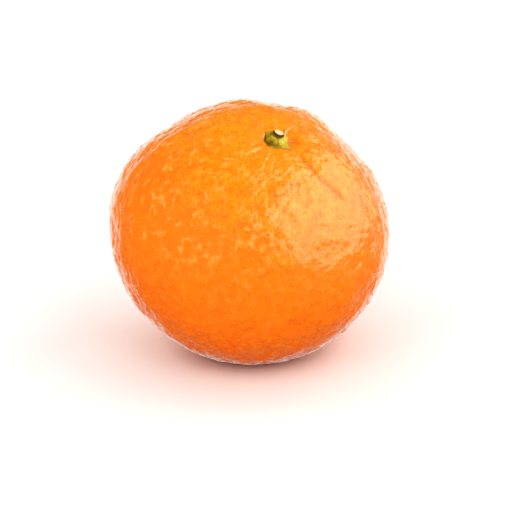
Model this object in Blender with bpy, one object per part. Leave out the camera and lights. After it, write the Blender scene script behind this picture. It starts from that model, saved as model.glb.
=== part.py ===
"""A whole mandarin as picked, with its green calyx and the cut stub of its stalk.

Metres, +Z up. The fruit leans on its flattened base, the way a loose-skinned fruit settles on a table,
so its stalk axis is off the vertical. The model's origin is the bottom centre of its box.

The rind is one star-shaped rule, rind_radius(), given in the stalk frame: origin at the middle of the
fruit, +Z along the stalk axis. The calyx and the stub take their places from the same rule.
"""

import math

import bmesh
import bpy
import numpy as np
from mathutils import Matrix, Vector

MM = 0.001

# The fruit, before it is dented: an egg-like body turned about the stalk axis.
FRUIT_HALF_WIDTH = 33.4 * MM
STALK_END_HEIGHT = 30.0 * MM
BLOSSOM_END_HEIGHT = 28.6 * MM
SHOULDER_FULLNESS = 2.10
BASE_FULLNESS = 2.03

# The shallow basin that the stalk grows from, and the dimple at the other end.
BASIN_DEPTH = 1.5 * MM
BASIN_REACH = 14.0
DIMPLE_DEPTH = 0.9 * MM
DIMPLE_REACH = 9.0

# Where the segments inside push the rind out or let it sink.
# Each is polar angle from the stalk, azimuth round it, height, and reach as an angle.
SWELLINGS = (
    (45, 92, -1.4 * MM, 10),
    (48, 61, 0.8 * MM, 13),
    (48, 40, -1.7 * MM, 22),
    (55, 143, -1.7 * MM, 20),
    (58, 16, 0.3 * MM, 14),
    (70, 5, -0.5 * MM, 16),
    (89, 174, 0.6 * MM, 17),
    (33, -80, 0.6 * MM, 14),
    (30, -8, 0.5 * MM, 11),
    (62, -128, -0.5 * MM, 16),
    (75, -60, 0.4 * MM, 18),
    (100, 70, 0.7 * MM, 20),
    (112, 120, -0.6 * MM, 17),
    (108, -20, -0.5 * MM, 19),
    (120, -100, 0.5 * MM, 18),
)

# Creases that run down from the basin between two segments.
# Each is azimuth, depth, half width as an angle, and the polar angles where it starts and ends.
FURROWS = (
    (-35, 0.65 * MM, 7, 11, 41),
    (12, 0.22 * MM, 9, 8, 27),
    (48, 0.45 * MM, 9, 8, 34),
    (84, 0.22 * MM, 8, 9, 31),
    (118, 0.26 * MM, 10, 8, 37),
    (158, 0.32 * MM, 9, 9, 30),
    (-166, 0.18 * MM, 8, 8, 25),
    (-128, 0.28 * MM, 10, 8, 33),
    (-88, 0.16 * MM, 9, 7, 20),
)

# How the fruit stands: the lean of its stalk axis, the azimuth it leans to, and the flattened base.
LEAN = 25.5
LEAN_TOWARD = -63.0
REST_PRESS = 1.45 * MM
REST_SOFTNESS = 0.20 * MM
REST_TRIM = 0.14 * MM

# The calyx: a green cushion with five sepals lying on the rind.
# Each sepal is its azimuth and how far its tip reaches from the stalk axis.
CUSHION_RADIUS = 2.75 * MM
CUSHION_CROWN_RADIUS = 2.35 * MM
CUSHION_HEIGHT = 0.95 * MM
SEPAL_THICKNESS = 0.45 * MM
SEPAL_HALF_WIDTH = 17.0
SEPAL_POINT = 1.4
SEPALS = ((-38, 4.7 * MM), (57, 5.0 * MM), (134, 4.1 * MM), (194, 3.5 * MM), (252, 3.9 * MM))

# The stub of the stalk that stands on the cushion.
STUB_FOOT_RADIUS = 1.38 * MM
STUB_RADIUS = 1.18 * MM
STUB_HEIGHT = 0.85 * MM
STUB_EDGE = 0.12 * MM
CUT_SLANT = 11.0

# Pieces that lie on each other keep this much air.
SEAT_GAP = 0.30 * MM

# How fine the meshes are, and the angle from which an edge is shaded sharp.
FRUIT_SECTORS = 72
FRUIT_RINGS = 46
END_CROWDING = 0.40
CALYX_SECTORS = 50
CALYX_RINGS = 18
STUB_SECTORS = 28
STUB_EDGE_STEPS = 2
HEIGHT_STEPS = 8
SHARP_EDGE = 40.0
CUT_MERGE = 0.001 * MM


def direction(polar, azimuth):
    """The unit vector at these two angles, in degrees."""
    polar, azimuth = np.radians(polar), np.radians(azimuth)
    parts = (np.sin(polar) * np.cos(azimuth), np.sin(polar) * np.sin(azimuth), np.cos(polar))
    return np.stack(np.broadcast_arrays(*parts), axis=-1)


def turn_between(azimuth, other):
    """The signed angle from one azimuth to another, between -180 and 180 degrees."""
    return (np.asarray(azimuth) - other + 180.0) % 360.0 - 180.0


def angles_of(toward):
    """The polar angle and azimuth of these unit vectors, in degrees."""
    polar = np.degrees(np.arccos(np.clip(toward[:, 2], -1.0, 1.0)))
    return polar, np.degrees(np.arctan2(toward[:, 1], toward[:, 0]))


def tilted(vectors, angle):
    """These vectors turned by an angle, in degrees, the way the stalk axis leans."""
    across = direction(90.0, LEAN_TOWARD + 90.0)
    along = (vectors @ across)[:, None] * across
    sine, cosine = np.sin(np.radians(angle)), np.cos(np.radians(angle))
    turned = (vectors - along) * np.reshape(cosine, (-1, 1))
    return along + turned + np.cross(across, vectors) * np.reshape(sine, (-1, 1))


def bell(share):
    """1 in the middle, falling off smoothly past a share of 1."""
    return np.exp(-(share**2))


def plateau(share):
    """Like a bell, with a flat top and quicker sides."""
    return np.exp(-(share**4))


def body_radius(polar):
    """The plain turned body, a superellipse whose two ends differ in height and fullness."""
    across, along = np.sin(np.radians(polar)), np.cos(np.radians(polar))
    height = np.where(along > 0, STALK_END_HEIGHT, BLOSSOM_END_HEIGHT)
    fullness = np.where(along > 0, SHOULDER_FULLNESS, BASE_FULLNESS)
    spread = (across / FRUIT_HALF_WIDTH) ** fullness + (np.abs(along) / height) ** fullness
    return spread ** (-1.0 / fullness)


def rind_radius(polar, azimuth):
    """How far the rind is from the middle of the fruit in this direction."""
    polar, azimuth = np.broadcast_arrays(np.asarray(polar, float), np.asarray(azimuth, float))
    radius = body_radius(polar)
    radius = radius - BASIN_DEPTH * bell(polar / BASIN_REACH)
    radius = radius - DIMPLE_DEPTH * bell((180.0 - polar) / DIMPLE_REACH)
    toward = direction(polar, azimuth)
    for swelling_polar, swelling_azimuth, height, reach in SWELLINGS:
        cosine = toward @ direction(swelling_polar, swelling_azimuth)
        away = np.degrees(np.arccos(np.clip(cosine, -1.0, 1.0)))
        radius = radius + height * bell(away / reach)
    for furrow_azimuth, depth, half_width, start, end in FURROWS:
        across = turn_between(azimuth, furrow_azimuth) / half_width
        along = (polar - (start + end) / 2) / ((end - start) / 2)
        radius = radius - depth * bell(across) * plateau(along)
    return radius


def rind_height(distance, azimuth):
    """The rind's height in the stalk frame, at this distance from the stalk axis, near the stalk end."""
    height = np.full(np.shape(distance), STALK_END_HEIGHT)
    for _ in range(HEIGHT_STEPS):
        polar = np.degrees(np.arctan2(distance, height))
        height = rind_radius(polar, azimuth) * np.cos(np.radians(polar))
    return height


def sepal_reach(azimuth):
    """How far the calyx reaches from the stalk axis: the cushion's edge, drawn out into pointed sepals."""
    reach = np.full(np.shape(azimuth), CUSHION_RADIUS)
    for sepal_azimuth, length in SEPALS:
        across = np.abs(turn_between(azimuth, sepal_azimuth)) / SEPAL_HALF_WIDTH
        reach = reach + (length - CUSHION_RADIUS) * np.exp(-(across**SEPAL_POINT))
    return reach


def cushion_top(distance, azimuth):
    """The height of the calyx's upper face in the stalk frame."""
    share = np.clip(distance / sepal_reach(azimuth), 0.0, 1.0)
    cushion = CUSHION_HEIGHT * plateau(distance / CUSHION_CROWN_RADIUS)
    blade = SEPAL_THICKNESS * np.sqrt(1.0 - share**2)
    return rind_height(distance, azimuth) + SEAT_GAP + cushion + blade


def ball(sectors, rings):
    """A ball of radius 1 as a bmesh, with its poles on Z, and the polar angle and azimuth of its points."""
    mesh = bmesh.new()
    bmesh.ops.create_uvsphere(mesh, u_segments=sectors, v_segments=rings, radius=1.0)
    polar, azimuth = angles_of(np.array([vertex.co for vertex in mesh.verts]))
    return mesh, polar, azimuth


def place(mesh, points):
    """Moves a bmesh's vertices to these points."""
    for vertex, point in zip(mesh.verts, points):
        vertex.co = Vector(point)


def material(name, colour, roughness):
    """A plain Principled material; nothing on the fruit is metal."""
    made = bpy.data.materials.new(name)
    made.use_nodes = True
    shader = made.node_tree.nodes["Principled BSDF"]
    shader.inputs["Base Color"].default_value = (*colour, 1.0)
    shader.inputs["Roughness"].default_value = roughness
    shader.inputs["Metallic"].default_value = 0.0
    return made


def finish(name, mesh, finish_material, parent):
    """Turns a bmesh into a named, smooth-shaded object under its parent."""
    bmesh.ops.recalc_face_normals(mesh, faces=mesh.faces)
    data = bpy.data.meshes.new(name)
    mesh.to_mesh(data)
    mesh.free()
    data.shade_smooth()
    data.set_sharp_from_angle(angle=math.radians(SHARP_EDGE))
    data.materials.append(finish_material)
    made = bpy.data.objects.new(name, data)
    bpy.context.scene.collection.objects.link(made)
    made.parent = parent
    return made


def axis_empty(name, parent, matrix):
    """An empty that carries other pieces."""
    made = bpy.data.objects.new(name, None)
    bpy.context.scene.collection.objects.link(made)
    made.parent = parent
    made.matrix_local = matrix
    return made


def press_on_table(points, table):
    """Points eased up off the table level, as soft rind flattens where it carries the fruit."""
    pressed = points.copy()
    depth = (points[:, 2] - table) / REST_SOFTNESS
    pressed[:, 2] = table + REST_SOFTNESS * np.logaddexp(0.0, depth)
    return pressed


def make_fruit(parent):
    """The fruit as one solid, already leaning, with a flat face cut where it rests.

    The rings of its mesh lie square to the stalk axis at the top and level at the base, closer at both ends.
    """
    mesh, polar, azimuth = ball(FRUIT_SECTORS, FRUIT_RINGS)
    polar = polar - END_CROWDING * np.degrees(np.sin(np.radians(2.0 * polar))) / 2.0
    level = direction(polar, azimuth)
    leaning = tilted(level, LEAN * (1.0 + level[:, 2]) / 2.0)
    radius = rind_radius(*angles_of(tilted(leaning, -LEAN)))
    points = leaning * radius[:, None]
    table = points[:, 2].min() + REST_PRESS
    place(mesh, press_on_table(points, table))
    floor = table + REST_TRIM
    cut = bmesh.ops.bisect_plane(
        mesh,
        geom=[*mesh.verts, *mesh.edges, *mesh.faces],
        dist=CUT_MERGE,
        plane_co=(0.0, 0.0, floor),
        plane_no=(0.0, 0.0, 1.0),
        clear_inner=True,
    )
    rim = [item for item in cut["geom_cut"] if isinstance(item, bmesh.types.BMEdge)]
    bmesh.ops.edgeloop_fill(mesh, edges=rim)
    peel = material("orange_rind", (1.0, 0.25, 0.01), 0.38)
    return finish("fruit", mesh, peel, parent), floor


def make_calyx(parent):
    """The cushion and its sepals: a flattened ball whose underside follows the rind."""
    mesh, polar, azimuth = ball(CALYX_SECTORS, CALYX_RINGS)
    share = np.sin(np.radians(polar))
    distance = share * sepal_reach(azimuth)
    top = cushion_top(distance, azimuth)
    under = rind_height(distance, azimuth) + SEAT_GAP
    height = np.where(polar < 90.0, top, under)
    across = np.radians(azimuth)
    place(mesh, np.stack([distance * np.cos(across), distance * np.sin(across), height], axis=-1))
    green = material("green_calyx", (0.32, 0.30, 0.03), 0.6)
    return finish("calyx", mesh, green, parent)


def make_stub(parent):
    """The stalk's stub: a short cone with a bevelled rim and a slanted cut."""
    mesh = bmesh.new()
    bmesh.ops.create_cone(
        mesh,
        cap_ends=True,
        segments=STUB_SECTORS,
        radius1=STUB_FOOT_RADIUS,
        radius2=STUB_RADIUS,
        depth=STUB_HEIGHT,
    )
    rim = [edge for edge in mesh.edges if all(vertex.co.z > 0 for vertex in edge.verts)]
    bmesh.ops.bevel(
        mesh, geom=rim, offset=STUB_EDGE, segments=STUB_EDGE_STEPS, profile=0.5, affect="EDGES"
    )
    foot = float(cushion_top(np.zeros(1), np.zeros(1))[0]) + SEAT_GAP
    slant = math.tan(math.radians(CUT_SLANT))
    away = math.radians(LEAN_TOWARD)
    for vertex in mesh.verts:
        if vertex.co.z > 0:
            vertex.co.z += slant * (vertex.co.x * math.cos(away) + vertex.co.y * math.sin(away))
        vertex.co.z += foot + STUB_HEIGHT / 2
    bark = material("cut_stalk", (0.55, 0.42, 0.22), 0.8)
    return finish("stem_stub", mesh, bark, parent)


def box_of(objects):
    """The lowest and highest corner of these objects in the world."""
    corners = [piece.matrix_world @ vertex.co for piece in objects for vertex in piece.data.vertices]
    return np.min(corners, axis=0), np.max(corners, axis=0)


def main():
    for old in list(bpy.data.objects):
        bpy.data.objects.remove(old, do_unlink=True)
    toward = math.radians(LEAN_TOWARD)
    lean_axis = Vector((-math.sin(toward), math.cos(toward), 0.0))
    lean = Matrix.Rotation(math.radians(LEAN), 4, lean_axis)
    middle = axis_empty("fruit_middle", None, Matrix.Identity(4))
    stalk = axis_empty("stalk_axis", middle, lean)
    fruit, floor = make_fruit(middle)
    pieces = [fruit, make_calyx(stalk), make_stub(stalk)]
    bpy.context.view_layer.update()
    lowest, highest = box_of(pieces)
    centre = (lowest + highest) / 2
    middle.location = Vector((-centre[0], -centre[1], -floor))


main()
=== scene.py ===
# %% [markdown]
# # A whole mandarin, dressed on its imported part
#
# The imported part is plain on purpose: one smooth fruit, a green calyx and a stub of stalk, at their true
# sizes and places. This lesson gives each of them the surface that the real one has. A mandarin looks right
# when four things are right: the loose, slightly lumpy rind, the oil glands that pebble it, the wax that
# makes it shine, and the dry little crown where the stalk was cut.
#
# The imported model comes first, because every later piece takes its place from it.

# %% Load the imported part
import math

import bpy
import numpy as np
from mathutils import Matrix, Vector
from mathutils.bvhtree import BVHTree


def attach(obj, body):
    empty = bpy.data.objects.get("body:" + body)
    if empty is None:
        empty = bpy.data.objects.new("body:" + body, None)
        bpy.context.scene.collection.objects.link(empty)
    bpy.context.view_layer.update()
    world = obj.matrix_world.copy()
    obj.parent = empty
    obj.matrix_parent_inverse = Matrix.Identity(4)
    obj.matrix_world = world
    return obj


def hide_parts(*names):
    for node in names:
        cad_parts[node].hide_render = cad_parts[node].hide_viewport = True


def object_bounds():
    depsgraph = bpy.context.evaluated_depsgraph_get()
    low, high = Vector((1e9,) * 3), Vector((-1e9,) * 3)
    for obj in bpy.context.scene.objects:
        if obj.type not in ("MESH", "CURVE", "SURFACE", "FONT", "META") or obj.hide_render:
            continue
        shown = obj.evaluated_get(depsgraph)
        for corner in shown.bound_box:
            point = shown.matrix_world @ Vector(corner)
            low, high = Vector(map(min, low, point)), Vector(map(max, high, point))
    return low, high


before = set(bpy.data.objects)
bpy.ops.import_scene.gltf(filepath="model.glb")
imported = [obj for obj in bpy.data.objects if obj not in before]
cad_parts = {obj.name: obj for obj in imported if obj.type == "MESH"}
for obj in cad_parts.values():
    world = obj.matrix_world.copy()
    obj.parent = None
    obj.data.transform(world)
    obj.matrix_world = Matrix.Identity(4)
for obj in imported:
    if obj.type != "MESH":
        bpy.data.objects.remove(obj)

MM = 0.001
cad_low, cad_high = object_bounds()
print("packed nodes:", sorted(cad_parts))
print("packed box, mm:", [round((high - low) / MM, 1) for low, high in zip(cad_low, cad_high)])

# %% [markdown]
# ## Where the stalk points
#
# The fruit lies tipped over on its side of the table, so its stalk doesn't point straight up. Everything
# that grows on a fruit is arranged round its stalk axis, so it is worth having that axis as a frame of its
# own: origin in the middle of the fruit, Z out along the stalk. The lean is the part's own. The middle is
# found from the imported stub, which stands centred on the axis at a known distance out.

# %% The stalk frame
LEAN = math.radians(25.5)
LEAN_TOWARD = math.radians(-63.0)
STUB_OUT = 30.95 * MM

lean_axis = Vector((-math.sin(LEAN_TOWARD), math.cos(LEAN_TOWARD), 0.0))
stalk_turn = Matrix.Rotation(LEAN, 3, lean_axis)
stalk_axis = stalk_turn @ Vector((0.0, 0.0, 1.0))
stub_points = [vertex.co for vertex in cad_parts["stem_stub"].data.vertices]
stub_middle = sum(stub_points, Vector()) / len(stub_points)
middle = stub_middle - STUB_OUT * stalk_axis
stalk_frame = Matrix.Translation(middle) @ stalk_turn.to_4x4()
print("middle of the fruit, mm:", [round(value / MM, 2) for value in middle])

# %% [markdown]
# ## The camera
#
# A long lens from about half a metre keeps the fruit's outline as a person sees it across a table, with
# hardly any perspective. It looks down by 20 degrees. The aim is a little below and to the right of the
# fruit's middle, which leaves more room above the fruit than below.

# %% Camera
LENS = 135.0
LOOK_DOWN = math.radians(20.0)
CAMERA_DISTANCE = 456 * MM
AIM_RIGHT = 1.1 * MM
AIM_DOWN = 5.8 * MM

toward_camera = Vector((0.0, -math.cos(LOOK_DOWN), math.sin(LOOK_DOWN)))
right = Vector((1.0, 0.0, 0.0))
up = Vector((0.0, math.sin(LOOK_DOWN), math.cos(LOOK_DOWN)))
camera_data = bpy.data.cameras.new("camera")
camera_data.lens = LENS
camera_data.clip_start = 0.01
camera = bpy.data.objects.new("camera", camera_data)
bpy.context.scene.collection.objects.link(camera)
camera.location = middle + CAMERA_DISTANCE * toward_camera
aim = middle + AIM_RIGHT * right - AIM_DOWN * up
camera.rotation_euler = (aim - camera.location).to_track_quat("-Z", "Y").to_euler()
bpy.context.scene.camera = camera
print("camera at, mm:", [round(value / MM) for value in camera.location])

# %% [markdown]
# ## Writing node trees by hand
#
# Geometry Nodes and materials are both trees of nodes, and a script can write them as easily as a mouse
# can. One helper adds a node and fills its inputs. A socket given as an input is linked, and anything else
# is set as a plain value. The others are the few sums that come back again and again.

# %% Helpers for node trees
def add(tree, kind, inputs=(), **settings):
    """Adds a node with these settings, and fills its inputs, given by name or by number."""
    node = tree.nodes.new(kind)
    for name, value in settings.items():
        setattr(node, name, value)
    for name, value in dict(inputs).items():
        if isinstance(value, bpy.types.NodeSocket):
            tree.links.new(value, node.inputs[name])
        else:
            node.inputs[name].default_value = value
    return node


def math_of(tree, operation, *values):
    """One Math node on sockets or numbers."""
    return add(tree, "ShaderNodeMath", enumerate(values), operation=operation).outputs[0]


def vector_of(tree, operation, *values):
    """One Vector Math node that gives a vector."""
    return add(tree, "ShaderNodeVectorMath", enumerate(values), operation=operation).outputs["Vector"]


def measure_of(tree, operation, *values):
    """One Vector Math node that gives a number, such as a length or a dot product."""
    return add(tree, "ShaderNodeVectorMath", enumerate(values), operation=operation).outputs["Value"]


def bell(tree, value, width):
    """1 where the value is 0, falling off smoothly past this width."""
    share = math_of(tree, "DIVIDE", value, width)
    squared = math_of(tree, "MULTIPLY", share, share)
    return math_of(tree, "EXPONENT", math_of(tree, "MULTIPLY", squared, -1.0))


def scaled(tree, vector, factor):
    """A vector times a number."""
    node = add(tree, "ShaderNodeVectorMath", {0: vector, "Scale": factor}, operation="SCALE")
    return node.outputs["Vector"]


def one_over(tree, size):
    """The scale of a texture whose lumps are this big."""
    return math_of(tree, "DIVIDE", 1.0, size) if isinstance(size, bpy.types.NodeSocket) else 1.0 / size


def ramp(tree, value, low, high, at_low=0.0, at_high=1.0):
    """A smooth step between two values, level outside them."""
    inputs = {"Value": value, "From Min": low, "From Max": high, "To Min": at_low, "To Max": at_high}
    return add(tree, "ShaderNodeMapRange", inputs, interpolation_type="SMOOTHSTEP").outputs["Result"]


def noise(tree, place, size, detail=1.0, rough=0.5, twist=0.0):
    """Soft noise about zero, mostly from -1 to 1, with lumps of about this size."""
    inputs = {
        "Vector": place,
        "Scale": one_over(tree, size),
        "Detail": detail,
        "Roughness": rough,
        "Distortion": twist,
    }
    value = add(tree, "ShaderNodeTexNoise", inputs).outputs[0]
    return math_of(tree, "MULTIPLY", math_of(tree, "SUBTRACT", value, 0.5), 4.0)


def cells(tree, place, size, feature="F1", randomness=1.0):
    """The distance to the nearest of many scattered points, as a share of their spacing."""
    inputs = {"Vector": place, "Scale": one_over(tree, size), "Randomness": randomness}
    return add(tree, "ShaderNodeTexVoronoi", inputs, feature=feature).outputs["Distance"]


print("node helpers ready")

# %% [markdown]
# ## The rind's shape
#
# The rind is one closed skin whose shape follows a rule, so Geometry Nodes make it. Sculpting could give
# the same look, but not the same fruit again at another size. Three helpers start a tree with named inputs,
# end it with its material, and run it to get a plain mesh.

# %% Start a Geometry Nodes tree, and run one
def start_tree(name, inputs):
    """A new Geometry Nodes tree with these inputs, and its input sockets by name."""
    tree = bpy.data.node_groups.new(name, "GeometryNodeTree")
    tree.interface.new_socket("Geometry", in_out="OUTPUT", socket_type="NodeSocketGeometry")
    for label, kind, value in inputs:
        tree.interface.new_socket(label, in_out="INPUT", socket_type="NodeSocket" + kind)
    given = tree.nodes.new("NodeGroupInput")
    return tree, {label: given.outputs[label] for label, kind, value in inputs}


def end_tree(tree, geometry, material):
    """Realizes what the tree made, gives it its material and shows it smooth."""
    real = add(tree, "GeometryNodeRealizeInstances", {"Geometry": geometry})
    smooth = add(tree, "GeometryNodeSetShadeSmooth", {"Geometry": real.outputs[0]})
    coated = {"Geometry": smooth.outputs[0], "Material": material}
    finished = add(tree, "GeometryNodeSetMaterial", coated)
    add(tree, "NodeGroupOutput", {"Geometry": finished.outputs[0]})


def grow(name, tree, inputs):
    """Runs a tree on an empty object and returns the result as a plain mesh object."""
    carrier = bpy.data.objects.new(name + "_carrier", bpy.data.meshes.new(name + "_carrier"))
    bpy.context.scene.collection.objects.link(carrier)
    modifier = carrier.modifiers.new("grow", "NODES")
    modifier.node_group = tree
    values = {label: value for label, kind, value in inputs}
    for item in tree.interface.items_tree:
        if item.in_out == "INPUT":
            modifier[item.identifier] = values[item.name]
    bpy.context.view_layer.update()
    graph = bpy.context.evaluated_depsgraph_get()
    mesh = bpy.data.meshes.new_from_object(carrier.evaluated_get(graph), depsgraph=graph)
    bpy.data.objects.remove(carrier)
    mesh.name = name
    made = bpy.data.objects.new(name, mesh)
    bpy.context.scene.collection.objects.link(made)
    return made


print("tree helpers:", start_tree.__name__, end_tree.__name__, grow.__name__)


# %% The rind's driving sizes
rind_material = bpy.data.materials.new("waxy orange rind")
GLAND_SPACING = 1.15 * MM
GLAND_RANDOMNESS = 0.8
RIND_INPUTS = [
    ("Packed fruit", "Object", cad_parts["fruit"]),
    ("Rind material", "Material", rind_material),
    ("Middle", "Vector", middle),
    ("Stalk axis", "Vector", stalk_axis),
    ("Points along an edge", "Int", 128),
    ("Slack length", "Float", 6.0 * MM),
    ("Slack height", "Float", 0.24 * MM),
    ("Dimpling length", "Float", 1.6 * MM),
    ("Dimpling height", "Float", 0.155 * MM),
    ("Gland spacing", "Float", GLAND_SPACING),
    ("Gland height", "Float", 0.08 * MM),
    ("Pleat height", "Float", 0.11 * MM),
    ("Crease depth", "Float", 0.42 * MM),
]
SMOOTHING_STEPS = 7
RAY_LENGTH = 100 * MM
WELD = 0.01 * MM
print("rind:", {label: value for label, kind, value in RIND_INPUTS if kind in ("Int", "Float")})


# %% [markdown]
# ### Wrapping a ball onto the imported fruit
#
# The choices for the base mesh were a UV sphere, an icosphere and a cube blown up to a ball. The cube wins:
# its quads are even all over and it has no poles, where a fine pebble pattern would pinch.
#
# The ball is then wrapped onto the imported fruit: from the middle of the fruit, a ray goes out through each
# point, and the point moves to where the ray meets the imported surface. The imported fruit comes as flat
# facets, so it is welded and smoothed first. Blurring the distances over a few neighbours takes away what is
# left of the facets, and the fruit's own lumps and hollows stay.

# %% The ball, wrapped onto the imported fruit
def wrapped_ball(tree, given):
    """An even ball of quads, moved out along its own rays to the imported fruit, and those rays."""
    across = given["Points along an edge"]
    sides = {"Size": (2.0, 2.0, 2.0), "Vertices X": across, "Vertices Y": across, "Vertices Z": across}
    cube = add(tree, "GeometryNodeMeshCube", sides)
    position = add(tree, "GeometryNodeInputPosition").outputs[0]
    evened = vector_of(tree, "TANGENT", scaled(tree, position, math.pi / 4))
    outward = vector_of(tree, "NORMALIZE", evened)
    with_ray = {"Geometry": cube.outputs["Mesh"], "Name": "ray", "Value": outward}
    cube_rays = add(tree, "GeometryNodeStoreNamedAttribute", with_ray, data_type="FLOAT_VECTOR")
    named = add(tree, "GeometryNodeInputNamedAttribute", {"Name": "ray"}, data_type="FLOAT_VECTOR")
    ray = named.outputs[0]

    packed = add(tree, "GeometryNodeObjectInfo", {"Object": given["Packed fruit"]})
    facets = {"Geometry": packed.outputs["Geometry"], "Distance": WELD}
    welded = add(tree, "GeometryNodeMergeByDistance", facets)
    smooth = add(tree, "GeometryNodeSubdivisionSurface", {"Mesh": welded.outputs[0], "Level": 2})
    aim_at = {
        "Target Geometry": smooth.outputs[0],
        "Source Position": given["Middle"],
        "Ray Direction": ray,
        "Ray Length": RAY_LENGTH,
    }
    hit = add(tree, "GeometryNodeRaycast", aim_at)
    stepped = {"Value": hit.outputs["Hit Distance"], "Iterations": SMOOTHING_STEPS}
    blurred = add(tree, "GeometryNodeBlurAttribute", stepped)
    place_out = vector_of(tree, "ADD", given["Middle"], scaled(tree, ray, blurred.outputs[0]))
    wrapped = {"Geometry": cube_rays.outputs[0], "Position": place_out}
    return add(tree, "GeometryNodeSetPosition", wrapped).outputs[0], ray


driving = {label: value for label, _, value in RIND_INPUTS}
print("ball:", 6 * (driving["Points along an edge"] - 1) ** 2, "quads")

# %% [markdown]
# ### The relief
#
# On that skin lies the relief of a real rind, coarse to fine:
#
# - slack: low waves some 6 mm long, because the rind of a mandarin hardly clings to the flesh
# - dimpling: waves of 1.6 mm, the orange-peel surface that breaks a reflection into patches
# - glands: small domes about 1 mm apart, one over each oil gland
# - pleats: fine folds that run out from the stalk like spokes
# - one winding crease between two segments, and a small pit beside the calyx
# - the scar where the flower's style fell off, at the far end
#
# Most of these are placed by how far a point is from the stalk, and in which direction round it.

# %% Where a point lies, seen from the stalk
def stalk_angles(tree, given, ray):
    """The angle down from the stalk axis, in radians, and the unit direction round it."""
    along = measure_of(tree, "DOT_PRODUCT", ray, given["Stalk axis"])
    sideways = vector_of(tree, "SUBTRACT", ray, scaled(tree, given["Stalk axis"], along))
    out = measure_of(tree, "LENGTH", sideways)
    return math_of(tree, "ARCTAN2", out, along), vector_of(tree, "NORMALIZE", sideways)


def between(tree, value, start, end, soft):
    """1 between two values, falling off smoothly outside them."""
    rise = ramp(tree, value, start - soft, start + soft)
    fall = ramp(tree, value, end - soft, end + soft, 1.0, 0.0)
    return math_of(tree, "MULTIPLY", rise, fall)


print("place helpers:", stalk_angles.__name__, between.__name__)

# %% [markdown]
# ### Pleats, crease and pit
#
# Round the stalk the loose rind is gathered, as cloth is round a button. The folds could be drawn one by
# one, but noise that changes quickly round the stalk and hardly at all down from it gives folds that start,
# stop and merge by themselves. There is only one long crease, so it has a course of its own, a curve of how
# far it strays at each angle from the stalk. The pit is a single bell-shaped dip.

# %% Pleats, the crease and the pit
PLEATS_ROUND = 7.0
PLEATS_START, PLEATS_END = math.radians(6.0), math.radians(27.0)
PLEATS_FADE = math.radians(6.0)
CREASE_TOWARD = math.radians(-35.0)
CREASE_START, CREASE_END = math.radians(13.0), math.radians(40.0)
CREASE_FADE = math.radians(4.0)
CREASE_HALF_WIDTH = 0.014
# The crease's course: the angle down from the stalk and how far it strays to its left, both in radians.
CREASE_PATH = (
    (0.0, 0.0),
    (0.234, 0.006),
    (0.38, -0.014),
    (0.50, -0.020),
    (0.60, 0.020),
    (0.70, 0.032),
    (1.0, 0.032),
)
PIT_TOWARD, PIT_DOWN, PIT_RADIUS = math.radians(16.0), math.radians(8.5), math.radians(2.6)


def ray_at(toward, down):
    """The unit ray this far down from the stalk axis, on this side of it."""
    level = math.sin(down)
    in_frame = Vector((level * math.cos(toward), level * math.sin(toward), math.cos(down)))
    return stalk_turn @ in_frame


crease_side = stalk_turn @ Vector((-math.sin(CREASE_TOWARD), math.cos(CREASE_TOWARD), 0.0))
crease_out = stalk_turn @ Vector((math.cos(CREASE_TOWARD), math.sin(CREASE_TOWARD), 0.0))
pit_ray = ray_at(PIT_TOWARD, PIT_DOWN)


def pleats(tree, down, round_stalk):
    """Fine folds like spokes: noise that changes round the stalk and hardly at all down from it."""
    turning = scaled(tree, round_stalk, PLEATS_ROUND)
    spoke = vector_of(tree, "ADD", turning, scaled(tree, stalk_axis, down))
    fold = noise(tree, spoke, 1.0, detail=1.0)
    span = between(tree, down, PLEATS_START, PLEATS_END, PLEATS_FADE)
    return math_of(tree, "MULTIPLY", fold, span)


def crease(tree, down, ray):
    """1 along the crease between two segments and in the pit, and 0 away from them."""
    strays = add(tree, "ShaderNodeFloatCurve", {"Value": down})
    curve = strays.mapping.curves[0]
    for angle, stray in CREASE_PATH[1:-1]:
        curve.points.new(angle, 0.5 + stray)
    curve.points[0].location = (0.0, 0.5)
    curve.points[len(CREASE_PATH) - 1].location = (1.0, 0.5 + CREASE_PATH[-1][1])
    strays.mapping.update()
    side = measure_of(tree, "DOT_PRODUCT", ray, crease_side)
    off = math_of(tree, "SUBTRACT", math_of(tree, "ADD", side, 0.5), strays.outputs[0])
    line = bell(tree, off, CREASE_HALF_WIDTH)
    front = ramp(tree, measure_of(tree, "DOT_PRODUCT", ray, crease_out), 0.0, 0.15)
    span = between(tree, down, CREASE_START, CREASE_END, CREASE_FADE)
    line = math_of(tree, "MULTIPLY", math_of(tree, "MULTIPLY", line, front), span)
    pit = bell(tree, measure_of(tree, "DISTANCE", ray, pit_ray), PIT_RADIUS)
    return math_of(tree, "MAXIMUM", line, pit)


crease_span = [round(math.degrees(angle)) for angle in (CREASE_START, CREASE_END)]
print("crease, degrees down from the stalk:", crease_span)

# %% [markdown]
# ### Glands and scar
#
# Each oil gland pushes up a tiny dome. Voronoi cells give scattered centres at an even spacing, and a smooth
# step over the distance to the nearest centre makes a dome of it. As height, and not only as shading, the
# domes also roughen the fruit's outline a little, as on a real one.

# %% Glands and the scar of the style
SCAR_RADIUS = math.radians(1.5)
SCAR_HEIGHT = 0.35 * MM
FLOOR_FADE = 2.0 * MM


def glands(tree, place, spacing):
    """Low domes over the oil glands: 1 on top of a gland, 0 in the valleys between."""
    away = cells(tree, place, spacing, randomness=GLAND_RANDOMNESS)
    return ramp(tree, away, 0.15, 0.75, 1.0, 0.0)


def scar(tree, down):
    """1 on the dot where the flower's style fell off, opposite the stalk."""
    return bell(tree, math_of(tree, "SUBTRACT", math.pi, down), SCAR_RADIUS)


rind_radius = (cad_high[0] - cad_low[0]) / 2
print("oil glands, about:", round(4 * math.pi * rind_radius**2 / GLAND_SPACING**2, -2))

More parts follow.
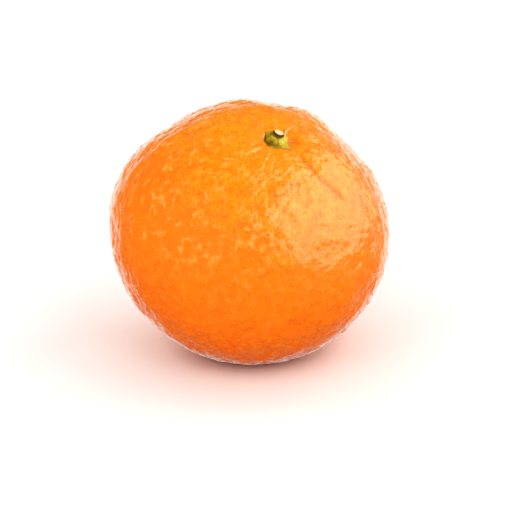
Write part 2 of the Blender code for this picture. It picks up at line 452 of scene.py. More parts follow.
# %% [markdown]
# ### Putting the rind together
#
# The heights are added up from coarse to fine and fade out where the fruit rests, so that it stands flat on
# the table. The dimples, the crease and the scar are also stored on the mesh as marks. The finish reads the
# same marks, so colour and shape can't drift apart.

# %% Grow the rind
# No coordinate of the fruit is below this, so only the height of a point is held above the table.
ANYWHERE = -1.0


def relief_height(tree, given, place, down, round_stalk, marks):
    """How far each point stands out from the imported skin, coarse to fine, level where it rests."""
    slack = noise(tree, place, given["Slack length"])
    fold = pleats(tree, down, round_stalk)
    domes = glands(tree, place, given["Gland spacing"])
    height = math_of(tree, "MULTIPLY", slack, given["Slack height"])
    height = math_of(tree, "MULTIPLY_ADD", marks["relief"], given["Dimpling height"], height)
    height = math_of(tree, "MULTIPLY_ADD", domes, given["Gland height"], height)
    height = math_of(tree, "MULTIPLY_ADD", fold, given["Pleat height"], height)
    dip = math_of(tree, "MULTIPLY", marks["groove"], given["Crease depth"])
    height = math_of(tree, "SUBTRACT", height, dip)
    height = math_of(tree, "MULTIPLY_ADD", marks["scar"], SCAR_HEIGHT, height)
    level = add(tree, "ShaderNodeSeparateXYZ", {"Vector": place}).outputs["Z"]
    return math_of(tree, "MULTIPLY", height, ramp(tree, level, 0.0, FLOOR_FADE))


def grow_rind():
    """Builds and runs the rind's tree. The mesh keeps the marks that the finish will need."""
    tree, given = start_tree("mandarin rind", RIND_INPUTS)
    skin, ray = wrapped_ball(tree, given)
    down, round_stalk = stalk_angles(tree, given, ray)
    place = add(tree, "GeometryNodeInputPosition").outputs[0]
    marks = {
        "groove": crease(tree, down, ray),
        "relief": noise(tree, place, given["Dimpling length"], detail=2.0, rough=0.55),
        "scar": scar(tree, down),
    }
    height = relief_height(tree, given, place, down, round_stalk, marks)
    normal = add(tree, "GeometryNodeInputNormal").outputs[0]
    shift = {"Geometry": skin, "Offset": scaled(tree, normal, height)}
    moved = add(tree, "GeometryNodeSetPosition", shift)
    now = add(tree, "GeometryNodeInputPosition").outputs[0]
    raised = vector_of(tree, "MAXIMUM", now, Vector((ANYWHERE, ANYWHERE, 0.0)))
    on_table = {"Geometry": moved.outputs[0], "Position": raised}
    geometry = add(tree, "GeometryNodeSetPosition", on_table).outputs[0]
    for label, value in marks.items():
        inputs = {"Geometry": geometry, "Name": label, "Value": value}
        stored_mark = add(tree, "GeometryNodeStoreNamedAttribute", inputs, data_type="FLOAT")
        geometry = stored_mark.outputs[0]
    gone = add(tree, "GeometryNodeRemoveAttribute", {"Geometry": geometry, "Name": "ray"})
    end_tree(tree, gone.outputs[0], given["Rind material"])
    return grow("rind", tree, RIND_INPUTS)


rind = grow_rind()
print("rind:", len(rind.data.polygons), "faces")

# %% [markdown]
# ## The rind's finish
#
# A mandarin's skin is a thin, saturated orange film over white pith, under a film of wax. Three layers do
# the same here: a base colour, a little light that goes into the skin and comes out near by, redder, and a
# clear coat over a moderately rough base. The coat puts a tight sheen on top of broad, soft highlights.
#
# The colour is laid on as a painter would, from wide to fine:
#
# - deep orange at the far end that turns golden toward the stalk, partly painted light: the top, which the
#   key light reaches, is painted more golden
# - blotches some 10 mm wide, and mottling of 2.4 mm
# - a redder spot over each oil gland, and painted shade in the valleys between the dimples
# - painted highlights: pale, ragged glints on the crests, most of them on one side of the fruit
# - a faint net of painted shade along the valleys, rare olive specks, painted shade in the crease and the
#   pit, and the scar of the style
#
# A bump map adds only what is too fine for the mesh: pores and the grain between them.

# %% A new material tree
def start_material(material, **values):
    """Empties a material and gives it one Principled shader, with these plain values."""
    material.use_nodes = True
    tree = material.node_tree
    tree.nodes.clear()
    plain = {name.replace("_", " "): value for name, value in values.items()}
    shader = add(tree, "ShaderNodeBsdfPrincipled", plain)
    add(tree, "ShaderNodeOutputMaterial", {"Surface": shader.outputs[0]})
    return tree, shader


def mixed(tree, share, first, second):
    """One colour over another by a share from 0 to 1."""
    node = add(tree, "ShaderNodeMix", {0: share, 6: first, 7: second}, data_type="RGBA")
    return node.outputs[2]


def stored(tree, name):
    """A value that the piece's mesh carries."""
    return add(tree, "ShaderNodeAttribute", attribute_name=name).outputs["Fac"]


def bumped(tree, height, strength, distance):
    """A normal from a height map."""
    inputs = {"Height": height, "Strength": strength, "Distance": distance}
    return add(tree, "ShaderNodeBump", inputs).outputs["Normal"]


print("material helpers:", start_material.__name__, mixed.__name__, stored.__name__, bumped.__name__)


# %% The rind's colours and the sizes of its patterns
DEEP_ORANGE = (0.91, 0.200, 0.0, 1.0)
ORANGE = (0.93, 0.252, 0.0, 1.0)
GOLDEN = (0.95, 0.345, 0.0, 1.0)
GLAND_ORANGE = (0.88, 0.155, 0.0, 1.0)
# Painted shade, for the valleys between the dimples and the net along them.
VALLEY_SHADE_ORANGE = (0.88, 0.185, 0.0, 1.0)
# Painted highlight: the pale colour of the glints.
GLINT_PEACH = (0.98, 0.48, 0.12, 1.0)
# Painted shade, for the crease and the pit.
CREASE_SHADE_ORANGE = (0.84, 0.19, 0.0, 1.0)
SPECK_OLIVE = (0.40, 0.17, 0.01, 1.0)
SCAR_BROWN = (0.22, 0.10, 0.035, 1.0)

BLOTCH_SIZE, MOTTLE_SIZE, SPECKLE_SIZE = 10 * MM, 2.4 * MM, 0.9 * MM
GLINT_SIZE = 2.3 * MM
# The painted highlights gather on the side of the rind that faces this way.
GLINTS_TOWARD = Vector((-0.25, -0.72, 0.65)).normalized()
NET_SPACING, NET_BEND_SIZE, NET_BEND = 1.6 * MM, 1.2 * MM, 1.3 * MM
MEAN_NOISE = Vector((0.5, 0.5, 0.5))
SPECK_SPACING, PORE_SPACING, GRAIN_SIZE = 2.6 * MM, 0.8 * MM, 0.45 * MM
BASE_ROUGHNESS = 0.28
PORE_DEPTH = 0.075 * MM
pattern_sizes = (BLOTCH_SIZE, MOTTLE_SIZE, GLINT_SIZE, NET_SPACING)
print("rind patterns, mm:", [round(size / MM, 2) for size in pattern_sizes])


# %% The ground colour, and what the glands and valleys do to it
def ground_colour(tree, toward_stalk, blotch, mottle, speckle):
    """Orange that turns golden toward the stalk, unevenly; the golden top is partly painted light."""
    # Partly painted light: golden toward the lit top by the stalk; the blotches and mottling are the rind's
    # own tone.
    golden_share = math_of(tree, "MULTIPLY_ADD", toward_stalk, 0.5, 0.5)
    golden_share = math_of(tree, "MULTIPLY_ADD", blotch, 0.07, golden_share)
    golden_share = math_of(tree, "MULTIPLY_ADD", mottle, 0.15, golden_share)
    golden_share = math_of(tree, "MULTIPLY_ADD", speckle, 0.03, golden_share)
    colour = mixed(tree, ramp(tree, golden_share, 0.30, 0.70), DEEP_ORANGE, ORANGE)
    return mixed(tree, ramp(tree, golden_share, 0.75, 1.02), colour, GOLDEN)


def gland_spots_and_valley_shade(tree, place, speckle, colour):
    """The colour again, redder over the oil glands, and with painted shade in the valleys between the
    dimples.
    """
    away = cells(tree, place, GLAND_SPACING, randomness=GLAND_RANDOMNESS)
    uneven = ramp(tree, speckle, -1.0, 1.0, 0.05, 0.5)
    gland = math_of(tree, "MULTIPLY", ramp(tree, away, 0.10, 0.45, 1.0, 0.0), uneven)
    colour = mixed(tree, gland, colour, GLAND_ORANGE)
    # Painted shade: the low valleys between the dimples are painted darker and redder.
    valley_shade = ramp(tree, stored(tree, "relief"), -0.9, -0.1, 0.45, 0.0)
    return mixed(tree, valley_shade, colour, VALLEY_SHADE_ORANGE)


print("ground colours:", DEEP_ORANGE[:3], ORANGE[:3], GOLDEN[:3])


# %% Painted glints and painted valley shade
def painted_glints(tree, place, ray, toward_stalk):
    """The share of painted glints, pale reflections of the light: ragged, on the crests, mostly on one side
    and few near the stalk.
    """
    ragged = noise(tree, place, GLINT_SIZE, detail=3.0, rough=0.65, twist=0.3)
    crest = math_of(tree, "MULTIPLY_ADD", stored(tree, "relief"), 0.3, ragged)
    facing = measure_of(tree, "DOT_PRODUCT", ray, GLINTS_TOWARD)
    side = ramp(tree, facing, 0.60, 0.95, 0.15, 0.9)
    # Painted highlight: pale where the glints fall.
    pale = math_of(tree, "MULTIPLY", ramp(tree, crest, 0.0, 0.95), side)
    return math_of(tree, "MULTIPLY", pale, ramp(tree, toward_stalk, 0.92, 0.985, 1.0, 0.3))


def valley_shade_net(tree, place, mottle):
    """The share of a fine, bent net of painted shade along the valleys, which comes and goes with the
    mottling.
    """
    bends = {"Vector": place, "Scale": one_over(tree, NET_BEND_SIZE)}
    bend = add(tree, "ShaderNodeTexNoise", bends).outputs["Color"]
    bend = scaled(tree, vector_of(tree, "SUBTRACT", bend, MEAN_NOISE), NET_BEND)
    bent = vector_of(tree, "ADD", place, bend)
    to_edge = cells(tree, bent, NET_SPACING, feature="DISTANCE_TO_EDGE")
    net_shade = ramp(tree, to_edge, 0.0, 0.09, 0.55, 0.0)
    return math_of(tree, "MULTIPLY", net_shade, ramp(tree, mottle, -0.6, 0.6))


print("glinting side:", [round(value, 2) for value in GLINTS_TOWARD])


# %% Wax and pores
def wax_and_pores(tree, shader, place, mottle, speckle):
    """A slightly uneven roughness under the wax, and a bump of pores and grain."""
    rough = math_of(tree, "MULTIPLY_ADD", mottle, 0.03, BASE_ROUGHNESS)
    rough = math_of(tree, "MULTIPLY_ADD", speckle, 0.03, rough)
    tree.links.new(rough, shader.inputs["Roughness"])
    pore = ramp(tree, cells(tree, place, PORE_SPACING), 0.0, 0.35)
    grain = noise(tree, place, GRAIN_SIZE, detail=1.0)
    height = math_of(tree, "MULTIPLY_ADD", grain, 0.2, pore)
    height = math_of(tree, "MULTIPLY_ADD", speckle, 0.6, height)
    tree.links.new(bumped(tree, height, 1.0, PORE_DEPTH), shader.inputs["Normal"])


print("pores, mm apart and deep:", round(PORE_SPACING / MM, 3), round(PORE_DEPTH / MM, 3))


# %% Paint the rind
def paint_rind():
    """Builds the rind's finish."""
    tree, shader = start_material(
        rind_material,
        IOR=1.48,
        Specular_Tint=(1.0, 0.90, 0.80, 1.0),
        Subsurface_Weight=0.10,
        Subsurface_Radius=(1.0, 0.3, 0.05),
        Subsurface_Scale=1.2 * MM,
        Coat_Weight=0.90,
        Coat_Roughness=0.10,
        Coat_IOR=1.45,
    )
    place = add(tree, "ShaderNodeTexCoord").outputs["Object"]
    ray = vector_of(tree, "NORMALIZE", vector_of(tree, "SUBTRACT", place, middle))
    toward_stalk = measure_of(tree, "DOT_PRODUCT", ray, stalk_axis)
    blotch = noise(tree, place, BLOTCH_SIZE, detail=2.0)
    mottle = noise(tree, place, MOTTLE_SIZE, detail=2.0)
    speckle = noise(tree, place, SPECKLE_SIZE, detail=1.0)

    colour = ground_colour(tree, toward_stalk, blotch, mottle, speckle)
    colour = gland_spots_and_valley_shade(tree, place, speckle, colour)
    # Painted highlight: pale glints on the crests, where the light's reflection breaks up.
    colour = mixed(tree, painted_glints(tree, place, ray, toward_stalk), colour, GLINT_PEACH)
    # Painted shade: a faint net of darker lines along the valleys between the pebbles.
    colour = mixed(tree, valley_shade_net(tree, place, mottle), colour, VALLEY_SHADE_ORANGE)
    speck = ramp(tree, cells(tree, place, SPECK_SPACING), 0.03, 0.06, 0.6, 0.0)
    colour = mixed(tree, speck, colour, SPECK_OLIVE)
    # Painted shade: the crease and the pit beside the calyx are painted darker.
    groove = math_of(tree, "MULTIPLY", stored(tree, "groove"), 0.8)
    colour = mixed(tree, groove, colour, CREASE_SHADE_ORANGE)
    colour = mixed(tree, stored(tree, "scar"), colour, SCAR_BROWN)
    tree.links.new(colour, shader.inputs["Base Color"])
    wax_and_pores(tree, shader, place, mottle, speckle)


paint_rind()
print("rind finish:", len(rind_material.node_tree.nodes), "nodes")

# %% [markdown]
# ## The calyx
#
# The green button is what is left of the flower: a fleshy cushion that carried the petals, with five
# sepals dried flat onto the rind. No ready-made primitive comes near its outline, so the mesh is a polar
# grid whose every point is computed: the outline says how far it reaches in each direction, the rind below
# gives the ground it lies on, and cushion, blades, midribs and puckers are added up as heights. One sepal
# has curled up as it dried. The others lie almost flat.

# %% The calyx's driving sizes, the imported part's own
CUSHION_RADIUS = 2.70 * MM
CUSHION_HEIGHT = 1.75 * MM
BLADE_THICKNESS = 0.26 * MM
BLADE_CLEARS_RIND, BLADE_IN_RIND = 0.05 * MM, 0.12 * MM
MIDRIB_HEIGHT = 0.12 * MM
LIFT_STARTS, LIFT_LENGTH = CUSHION_RADIUS * 0.9, 1.9 * MM
CROWN_STRAYS = stalk_turn.inverted() @ Vector((0.40 * MM, 0.38 * MM, 0.17 * MM))
SEPAL_HALF_WIDTH = 14.0
SEPAL_POINT = 1.25
# Each sepal: its azimuth, how far its tip reaches from the stalk axis, and how far the tip curls up.
SEPALS = (
    (-38, 4.6 * MM, 0.05 * MM),
    (57, 4.6 * MM, 0.95 * MM),
    (134, 3.6 * MM, 0.15 * MM),
    (194, 3.0 * MM, 0.05 * MM),
    (252, 3.5 * MM, 0.05 * MM),
)
CALYX_SECTORS, CALYX_RINGS = 360, 72


def sepal_shares(azimuth):
    """For each sepal, 1 along its midrib and 0 well beside it."""
    turns = [(azimuth - sepal + 180.0) % 360.0 - 180.0 for sepal, _, _ in SEPALS]
    return [np.exp(-(np.abs(turn) / SEPAL_HALF_WIDTH) ** SEPAL_POINT) for turn in turns]


print("sepals reach, mm:", [round(length / MM, 1) for _, length, _ in SEPALS])

# %% [markdown]
# ### The ground under the calyx
#
# The sepals have dried onto the rind and follow it. A Shrinkwrap modifier could press a finished calyx down,
# but it would flatten the cushion too. Here each point drops a ray of its own onto the finished rind, and
# the calyx is built up from that ground.

# %% The ground under the calyx
rind_tree = BVHTree.FromObject(rind, bpy.context.evaluated_depsgraph_get())
DROP_FROM = 45 * MM


def rind_height(across, along):
    """The rind's height in the stalk frame under one point, found by dropping a ray along the stalk."""
    above = stalk_frame @ Vector((across, along, DROP_FROM))
    hit = rind_tree.ray_cast(above, -stalk_axis)[0]
    return (stalk_frame.inverted() @ hit).z


def ripple(azimuth, distance, count, seed):
    """A soft, uneven wave round the stalk, from -1 to 1."""
    turn = np.radians(azimuth)
    finer = int(count * 1.7)
    wave = np.sin(count * turn + seed)
    wave = wave + 0.6 * np.sin(finer * turn + 2.1 * seed + distance / MM)
    return wave / 1.6


print("rind at the stalk, mm from the middle:", round(rind_height(0.0, 0.0) / MM, 2))

# %% [markdown]
# ### A closed polar grid
#
# Calyx and stub are both rings round an axis, with a top and an underside that meet at the rim. Spin could
# turn a profile, but neither piece is round. So one helper joins two stacks of rings into a closed mesh, and
# another stores values on its points for the finish.

# %% A closed polar grid
def polar_piece(name, top, under, material):
    """A closed piece from two stacks of rings, each (rings, sectors, 3), that share their outer ring."""
    rings, sectors = top.shape[:2]
    points = [top[0, 0], *top[1:].reshape(-1, 3), under[0, 0], *under[1:-1].reshape(-1, 3)]

    def upper(ring, sector):
        return 0 if ring == 0 else 1 + (ring - 1) * sectors + sector % sectors

    base = 1 + (rings - 1) * sectors

    def lower(ring, sector):
        if ring == rings - 1:
            return upper(ring, sector)
        return base if ring == 0 else base + 1 + (ring - 1) * sectors + sector % sectors

    faces = []
    for ring in range(rings - 1):
        for sector in range(sectors):
            for corner, outward in ((upper, True), (lower, False)):
                quad = [corner(ring, sector), corner(ring + 1, sector), corner(ring + 1, sector + 1)]
                if ring:
                    quad.append(corner(ring, sector + 1))
                faces.append(quad if outward else quad[::-1])
    mesh = bpy.data.meshes.new(name)
    mesh.from_pydata([stalk_frame @ Vector(point) for point in points], [], faces)
    mesh.shade_smooth()
    mesh.materials.append(material)
    made = bpy.data.objects.new(name, mesh)
    bpy.context.scene.collection.objects.link(made)
    return made


def carry(made, name, top, under):
    """Stores a value of each ring and sector on the points of a polar piece."""
    values = [top[0, 0], *top[1:].ravel(), under[0, 0], *under[1:-1].ravel()]
    made.data.attributes.new(name, "FLOAT", "POINT").data.foreach_set("value", values)


print("polar helpers:", polar_piece.__name__, carry.__name__)

# %% [markdown]
# ### Outline and surface
#
# The outline is a slightly lobed circle with five blades added to it, each falling off quickly to both sides
# of its midrib. On it stand the puckered cushion, the thin blades with their midribs, and the lift of the
# curled tip. How dry each point is, how far toward the darker side, how near the stalk and how near the edge
# go along as marks.

# %% The calyx's outline
calyx_material = bpy.data.materials.new("dry green calyx")
DARK_SIDE_TOWARD = math.radians(205.0)
DRY_FROM, DRY_OVER = 2.75 * MM, 1.6 * MM
COLLAR_RADIUS, COLLAR_FADE = 1.15 * MM, 0.35 * MM
# Where the painted shade round the cushion starts, as a share of the way out, and how wide it is.
SHADE_EDGE_FROM, SHADE_EDGE_WIDTH = 0.86, 0.14


def calyx_outline():
    """A polar grid that fills the calyx's outline: where its points lie, and how much sepal each is."""
    sectors = np.arange(CALYX_SECTORS) * 360.0 / CALYX_SECTORS
    azimuth, share = np.meshgrid(sectors, np.linspace(0.0, 1.0, CALYX_RINGS) ** 0.8)
    lobes = 0.035 * ripple(azimuth, 0.0, 5, 1.3)
    teeth = 0.012 * ripple(azimuth, 0.0, 13, 0.4)
    lobed = CUSHION_RADIUS * (1.0 + lobes + teeth)
    reach, curl = lobed * 1.02, np.zeros_like(share)
    on_sepal = np.zeros_like(share)
    for (_, length, curled), rib in zip(SEPALS, sepal_shares(azimuth)):
        reach = reach + (length - CUSHION_RADIUS) * rib
        curl = curl + curled * rib
        on_sepal = np.maximum(on_sepal, rib)
    return azimuth, share, share * reach, lobed, curl, on_sepal


print("calyx reaches, mm from the stalk:", round(calyx_outline()[2].max() / MM, 2))


# %% The calyx's surface
def make_calyx():
    """The cushion and sepals on the rind, with the marks that the finish will need."""
    azimuth, share, distance, lobed, curl, on_sepal = calyx_outline()
    turn = np.radians(azimuth)
    across = distance * np.cos(turn) + CROWN_STRAYS.x
    along = distance * np.sin(turn) + CROWN_STRAYS.y
    ground = [rind_height(x, y) for x, y in zip(across.ravel(), along.ravel())]
    ground = np.array(ground).reshape(share.shape)

    inside = np.clip(distance / lobed, 0.0, 1.0)
    fine_pucker = 0.05 * ripple(azimuth, distance, 17, 0.9) * inside**2
    wide_pucker = 0.06 * ripple(azimuth, 0.0, 5, 2.6) * inside
    pucker = 1.0 + fine_pucker + wide_pucker
    cushion = CUSHION_HEIGHT * (1.0 - inside**2.6) ** 0.62 * pucker
    blade = BLADE_THICKNESS * np.sqrt(np.clip(1.0 - share**3, 0.0, 1.0))
    beyond = np.clip((distance - LIFT_STARTS) / LIFT_LENGTH, 0.0, 1.0)
    midrib = MIDRIB_HEIGHT * on_sepal**6 * np.sqrt(np.clip(1.0 - share**4, 0.0, 1.0))
    lift = (curl + BLADE_CLEARS_RIND) * beyond**1.6
    height = ground + cushion + blade + midrib + lift
    under = ground + lift - BLADE_IN_RIND * (1 - share**8)

    top = np.stack([across, along, height], axis=-1)
    bottom = np.stack([across, along, under], axis=-1)
    made = polar_piece("calyx_skin", top, bottom, calyx_material)
    dry = np.clip((distance - DRY_FROM) / DRY_OVER, 0, 1)
    near = np.clip(1.0 - (distance - COLLAR_RADIUS) / COLLAR_FADE, 0, 1)
    # Darker toward one side, the left: olive, then brown.
    dark_side = np.clip(0.5 + 0.6 * np.cos(turn - DARK_SIDE_TOWARD) * inside, 0, 1)
    # Where the cushion meets the rind, away from the sepals: the finish paints a thin line of shade there.
    edge = np.clip((share - SHADE_EDGE_FROM) / SHADE_EDGE_WIDTH, 0, 1) * (1 - on_sepal)
    carry(made, "dry", dry, dry)
    carry(made, "near_stalk", near, np.zeros_like(near))
    carry(made, "dark_side", dark_side, dark_side)
    carry(made, "edge", edge, edge)
    return made, float(height[0, 0])


calyx, cushion_top = make_calyx()
print("calyx:", len(calyx.data.polygons), "faces; cushion top, mm:", round(cushion_top / MM, 2))

# %% [markdown]
# ## The calyx's finish
#
# Fresh, it is yellow-green and slightly shiny. Toward one side it turns olive, then brown, and its dry tips
# go tan and brown. The mesh carries how dry each point is, how far toward that darker side it lies, and how
# near the edge and the stalk. The finish turns those into colour, with dark specks, a line of painted shade
# round the cushion where it meets the rind, and a bark-brown collar round the stalk's foot, partly bark and
# partly painted shade.

# %% Paint the calyx
LEAF_GREEN = (0.62, 0.49, 0.008, 1.0)
OLIVE = (0.26, 0.16, 0.003, 1.0)
TAN = (0.68, 0.36, 0.08, 1.0)
BARK_BROWN = (0.13, 0.066, 0.010, 1.0)


def paint_calyx():
    """Builds the calyx's finish."""
    waxy = {"Roughness": 0.5, "IOR": 1.4, "Coat_Weight": 0.1, "Coat_Roughness": 0.3}
    tree, shader = start_material(calyx_material, **waxy)
    place = add(tree, "ShaderNodeTexCoord").outputs["Object"]
    patch = noise(tree, place, 1.3 * MM, detail=2.0)
    grain = noise(tree, place, 0.3 * MM, detail=2.0)
    # Darker toward one side: green to olive to brown.
    darkening = math_of(tree, "MULTIPLY_ADD", patch, 0.35, stored(tree, "dark_side"))
    colour = mixed(tree, ramp(tree, darkening, 0.35, 1.2), LEAF_GREEN, OLIVE)
    colour = mixed(tree, ramp(tree, darkening, 1.05, 1.6), colour, BARK_BROWN)
    tips = math_of(tree, "MULTIPLY_ADD", patch, 0.15, stored(tree, "dry"))
    colour = mixed(tree, ramp(tree, tips, 0.1, 0.6), colour, TAN)
    colour = mixed(tree, ramp(tree, tips, 0.95, 1.4), colour, BARK_BROWN)
    specks = ramp(tree, cells(tree, place, 0.6 * MM), 0.12, 0.30, 0.85, 0.0)
    specks = math_of(tree, "MULTIPLY", specks, ramp(tree, patch, -0.4, 0.3))
    colour = mixed(tree, specks, colour, BARK_BROWN)
    # Painted shade: a dark line round the cushion where it meets the rind.
    outline = math_of(tree, "MULTIPLY", stored(tree, "edge"), 0.75)
    colour = mixed(tree, outline, colour, BARK_BROWN)
    # Partly bark and partly painted shade: a bark-brown collar round the foot of the stalk, where stalk and
    # calyx meet.
    collar_bark_and_shade = math_of(tree, "MULTIPLY_ADD", patch, 0.15, stored(tree, "near_stalk"))
    colour = mixed(tree, ramp(tree, collar_bark_and_shade, 0.3, 0.8), colour, BARK_BROWN)
    tree.links.new(colour, shader.inputs["Base Color"])
    tree.links.new(bumped(tree, grain, 0.6, 0.06 * MM), shader.inputs["Normal"])


paint_calyx()
print("calyx finish:", len(calyx_material.node_tree.nodes), "nodes")

# %% [markdown]
# ## The cut stalk
#
# The stalk is snipped close to the fruit. What shows is a ring of brown bark round a pale cut face of wood,
# with a spot of pith in the middle and fibres that run out from it. Low down the bark turns olive, where it
# goes over into the calyx. It is a small turned shape, a stack of rings, made uneven and sheared to the
# slant of the cut.

# %% The stub
STUB_RADIUS = 1.18 * MM
STUB_ABOVE_MIDDLE = 0.02 * MM
STUB_STRAYS = stalk_turn.inverted() @ Vector((0.55 * MM, 0.30 * MM, 0.13 * MM))
CUT_SLANT = math.tan(math.radians(14.0))
CUT_HIGH_TOWARD = math.radians(232.0)
STUB_SINK = 0.45 * MM
STUB_SECTORS = 120
ON_BARK = 1.2
stub_middle_height = (stalk_frame.inverted() @ stub_middle).z
stub_material = bpy.data.materials.new("cut woody stalk")


def make_stub():
    """A stack of rings up the bark, over the rim and in across the cut face."""
    foot = cushion_top - STUB_SINK
    top = stub_middle_height + STUB_ABOVE_MIDDLE
    sectors = np.arange(STUB_SECTORS) * 360.0 / STUB_SECTORS
    # Each ring of the outside: its radius, and how far up the stub it lies, as shares of the stub's own.
    face = [(radius, 1.0) for radius in np.linspace(0.0, 0.86, 20)]
    rim = [(0.90, 1.008), (0.94, 1.01), (0.975, 1.0), (0.995, 0.97), (1.0, 0.92)]
    bark = [(1.0 + 0.17 * (1 - level) ** 1.5, level) for level in np.linspace(0.86, 0.0, 16)]
    profile = np.array(face + rim + bark)
    azimuth, radius = np.meshgrid(sectors, profile[:, 0])
    level = np.repeat(profile[:, 1:2], STUB_SECTORS, axis=1)
    turn = np.radians(azimuth)
    uneven = 1.0 + 0.025 * ripple(azimuth, 0.0, 3, 0.7) + 0.012 * ripple(azimuth, 0.0, 13, 2.2)
    radius = radius * STUB_RADIUS * uneven
    across, along = radius * np.cos(turn), radius * np.sin(turn)
    slant = CUT_SLANT * (across * math.cos(CUT_HIGH_TOWARD) + along * math.sin(CUT_HIGH_TOWARD))
    rough = 0.015 * MM * ripple(azimuth, 0.0, 23, 1.1) * np.clip(radius / STUB_RADIUS, 0, 1)
    height = foot + (top - foot) * level + (slant + rough) * level
    outside = np.stack([across + STUB_STRAYS.x, along + STUB_STRAYS.y, height], axis=-1)
    inward = np.linspace(0.0, 1.0, len(profile))[:, None, None]
    underside = outside[-1] * inward + outside[-1].mean(axis=0) * (1.0 - inward)
    made = polar_piece("stalk_stub", outside, underside, stub_material)
    out = profile[:, 0].copy()
    out[len(face) + 2 :] = ON_BARK
    out = np.repeat(out[:, None], STUB_SECTORS, axis=1)
    carry(made, "out_from_pith", out, np.full_like(out, ON_BARK))
    carry(made, "down_bark", 1.0 - level, 1.0 - level)
    return made


stub = make_stub()
print("stub:", len(stub.data.polygons), "faces")

# %% Paint the stub
CUT_WOOD = (0.72, 0.60, 0.36, 1.0)
PITH = (0.84, 0.76, 0.56, 1.0)


def paint_stub():
    """Builds the stub's finish: pale wood inside, bark outside."""
    tree, shader = start_material(stub_material, Roughness=0.75, IOR=1.4)
    place = add(tree, "ShaderNodeTexCoord").outputs["Object"]
    out = stored(tree, "out_from_pith")
    fibre = noise(tree, place, 0.22 * MM, detail=2.0)
    edge = math_of(tree, "MULTIPLY_ADD", fibre, 0.06, out)
    colour = mixed(tree, ramp(tree, edge, 0.15, 0.4), PITH, CUT_WOOD)
    colour = mixed(tree, ramp(tree, fibre, 0.1, 0.9, 0.0, 0.5), colour, TAN)
    bark = mixed(tree, ramp(tree, stored(tree, "down_bark"), 0.30, 0.75), BARK_BROWN, OLIVE)
    colour = mixed(tree, ramp(tree, edge, 0.84, 0.98), colour, bark)
    tree.links.new(colour, shader.inputs["Base Color"])
    tree.links.new(bumped(tree, fibre, 0.7, 0.05 * MM), shader.inputs["Normal"])


paint_stub()
print("stub finish:", len(stub_material.node_tree.nodes), "nodes")

# %% [markdown]
# ## Giving the pieces to the imported part
#
# Each new piece rides on the imported body and stands in for the plain piece it covers.

# %% Ride and replace
STANDS_FOR = ((rind, "fruit", "rind"), (calyx, "calyx", "calyx"), (stub, "stem_stub", "stalk"))
for piece, node, slot_name in STANDS_FOR:
    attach(piece, "root")
    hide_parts(node)
    print(piece.name, "stands for", node)

# %% [markdown]
# ## Floor, light and surroundings
#
# A white table, and one large soft light to the right and a little in front, high enough to reach the
# crown. A second one of the same size in the same place, the window, only shows as a reflection. It makes
# the broad sheen on the right of the rind strong without making the rest of the fruit any brighter. Three
# fills do the opposite: they soften the shadows from the left, the front and the back, and the wax doesn't
# mirror them. Nor does it mirror the table. So the orange stays deep wherever the window doesn't reach.
#
# The room is dim for the same reason, except straight behind the fruit. A surface seen at a glancing angle
# mirrors what lies behind it, and so the bright backdrop puts a thin pale rim on the fruit's edges.

# %% Floor
floor_material = bpy.data.materials.new("white table")
floor_shader = start_material(floor_material, Roughness=0.9)[1]
TABLE_WHITE = (0.90, 0.90, 0.90, 1.0)
HALF_FLOOR = 3.0
floor_shader.inputs["Base Color"].default_value = TABLE_WHITE
floor_shader.inputs["Specular IOR Level"].default_value = 0.0
floor_mesh = bpy.data.meshes.new("table")
floor_signs = ((-1, -1), (1, -1), (1, 1), (-1, 1))
floor_corners = [(x * HALF_FLOOR, y * HALF_FLOOR, 0) for x, y in floor_signs]
floor_mesh.from_pydata(floor_corners, [], [(0, 1, 2, 3)])
floor_mesh.materials.append(floor_material)
floor = bpy.data.objects.new("table", floor_mesh)
bpy.context.scene.collection.objects.link(floor)
floor.visible_glossy = False
print("table:", 2 * HALF_FLOOR, "m wide")

# %% Lights
SOFTBOX_DISTANCE = 0.65
SOFTBOX_WHITE = (1.0, 0.99, 0.97)
KEY_TOWARD = (0.88, -0.19, 0.54)
KEY_SIZE = (1.40, 0.88)
KEY_BRIGHTNESS, WINDOW_BRIGHTNESS = 1.2, 3.6
# Each fill: its name, the direction it stands in, its size in metres and its brightness.
FILLS = (
    ("left fill", (-0.85, -0.35, 0.40), (1.1, 0.9), 0.92),
    ("front fill", (-0.20, -0.80, 0.55), (0.9, 0.8), 0.68),
    ("back fill", (-0.10, 0.70, 0.70), (1.2, 1.0), 0.80),
)


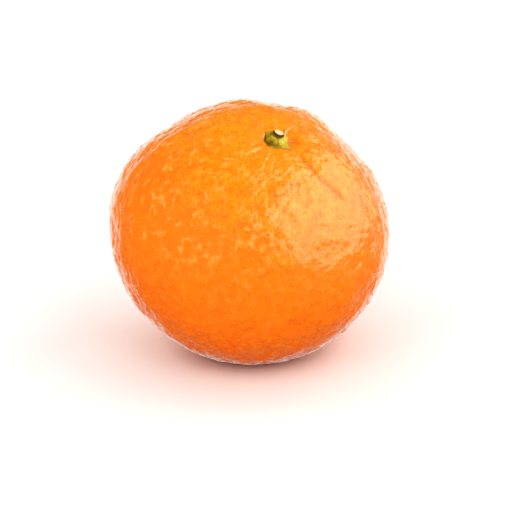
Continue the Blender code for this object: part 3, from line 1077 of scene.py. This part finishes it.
def softbox(name, direction, size, brightness, shines=True, lights=True):
    """A rectangular light that faces the fruit, as bright as a wall of this strength.

    One that doesn't shine isn't mirrored, and one that doesn't light is only mirrored.
    """
    data = bpy.data.lights.new(name, "AREA")
    data.shape = "RECTANGLE"
    data.size, data.size_y = size
    data.energy = brightness * math.pi * size[0] * size[1]
    data.color = SOFTBOX_WHITE
    lamp = bpy.data.objects.new(name, data)
    bpy.context.scene.collection.objects.link(lamp)
    toward = Vector(direction).normalized()
    lamp.location = middle + SOFTBOX_DISTANCE * toward
    lamp.rotation_euler = (-toward).to_track_quat("-Z", "Y").to_euler()
    lamp.visible_glossy = shines
    lamp.visible_diffuse = lights
    print(name, "light:", round(data.energy, 2), "W")


softbox("key", KEY_TOWARD, KEY_SIZE, KEY_BRIGHTNESS)
softbox("window", KEY_TOWARD, KEY_SIZE, WINDOW_BRIGHTNESS, lights=False)
for fill_name, fill_toward, fill_size, fill_brightness in FILLS:
    softbox(fill_name, fill_toward, fill_size, fill_brightness, shines=False)


# %% The room
BACKDROP_TOWARD = Vector((0.0, 0.94, -0.34))
DIM_LEVEL, BACKDROP_LEVEL = 0.085, 0.98


def white_room():
    """A dim white room with a bright backdrop behind the fruit, weaker high up and very low down."""
    world = bpy.data.worlds.new("white room")
    bpy.context.scene.world = world
    world.use_nodes = True
    tree = world.node_tree
    tree.nodes.clear()
    direction = add(tree, "ShaderNodeTexCoord").outputs["Generated"]
    height = add(tree, "ShaderNodeSeparateXYZ", {"Vector": direction}).outputs["Z"]
    behind = ramp(tree, measure_of(tree, "DOT_PRODUCT", direction, BACKDROP_TOWARD), 0.56, 0.98)
    behind = math_of(tree, "MULTIPLY", behind, ramp(tree, height, 0.0, 0.35, 1.0, 0.15))
    behind = math_of(tree, "MULTIPLY", behind, ramp(tree, height, -0.8, -0.3, 0.3, 1.0))
    level = math_of(tree, "MULTIPLY_ADD", behind, BACKDROP_LEVEL, DIM_LEVEL)
    walls = {"Color": (1.0, 1.0, 1.0, 1.0), "Strength": level}
    wall = add(tree, "ShaderNodeBackground", walls)
    add(tree, "ShaderNodeOutputWorld", {"Surface": wall.outputs[0]})
    print("room:", DIM_LEVEL, "dim,", round(DIM_LEVEL + BACKDROP_LEVEL, 3), "behind the fruit")


white_room()
bpy.context.scene.view_settings.view_transform = "Standard"
bpy.context.scene.view_settings.look = "High Contrast"

# %% [markdown]
# ## The end

# %% Finish the scene
bpy.context.view_layer.update()
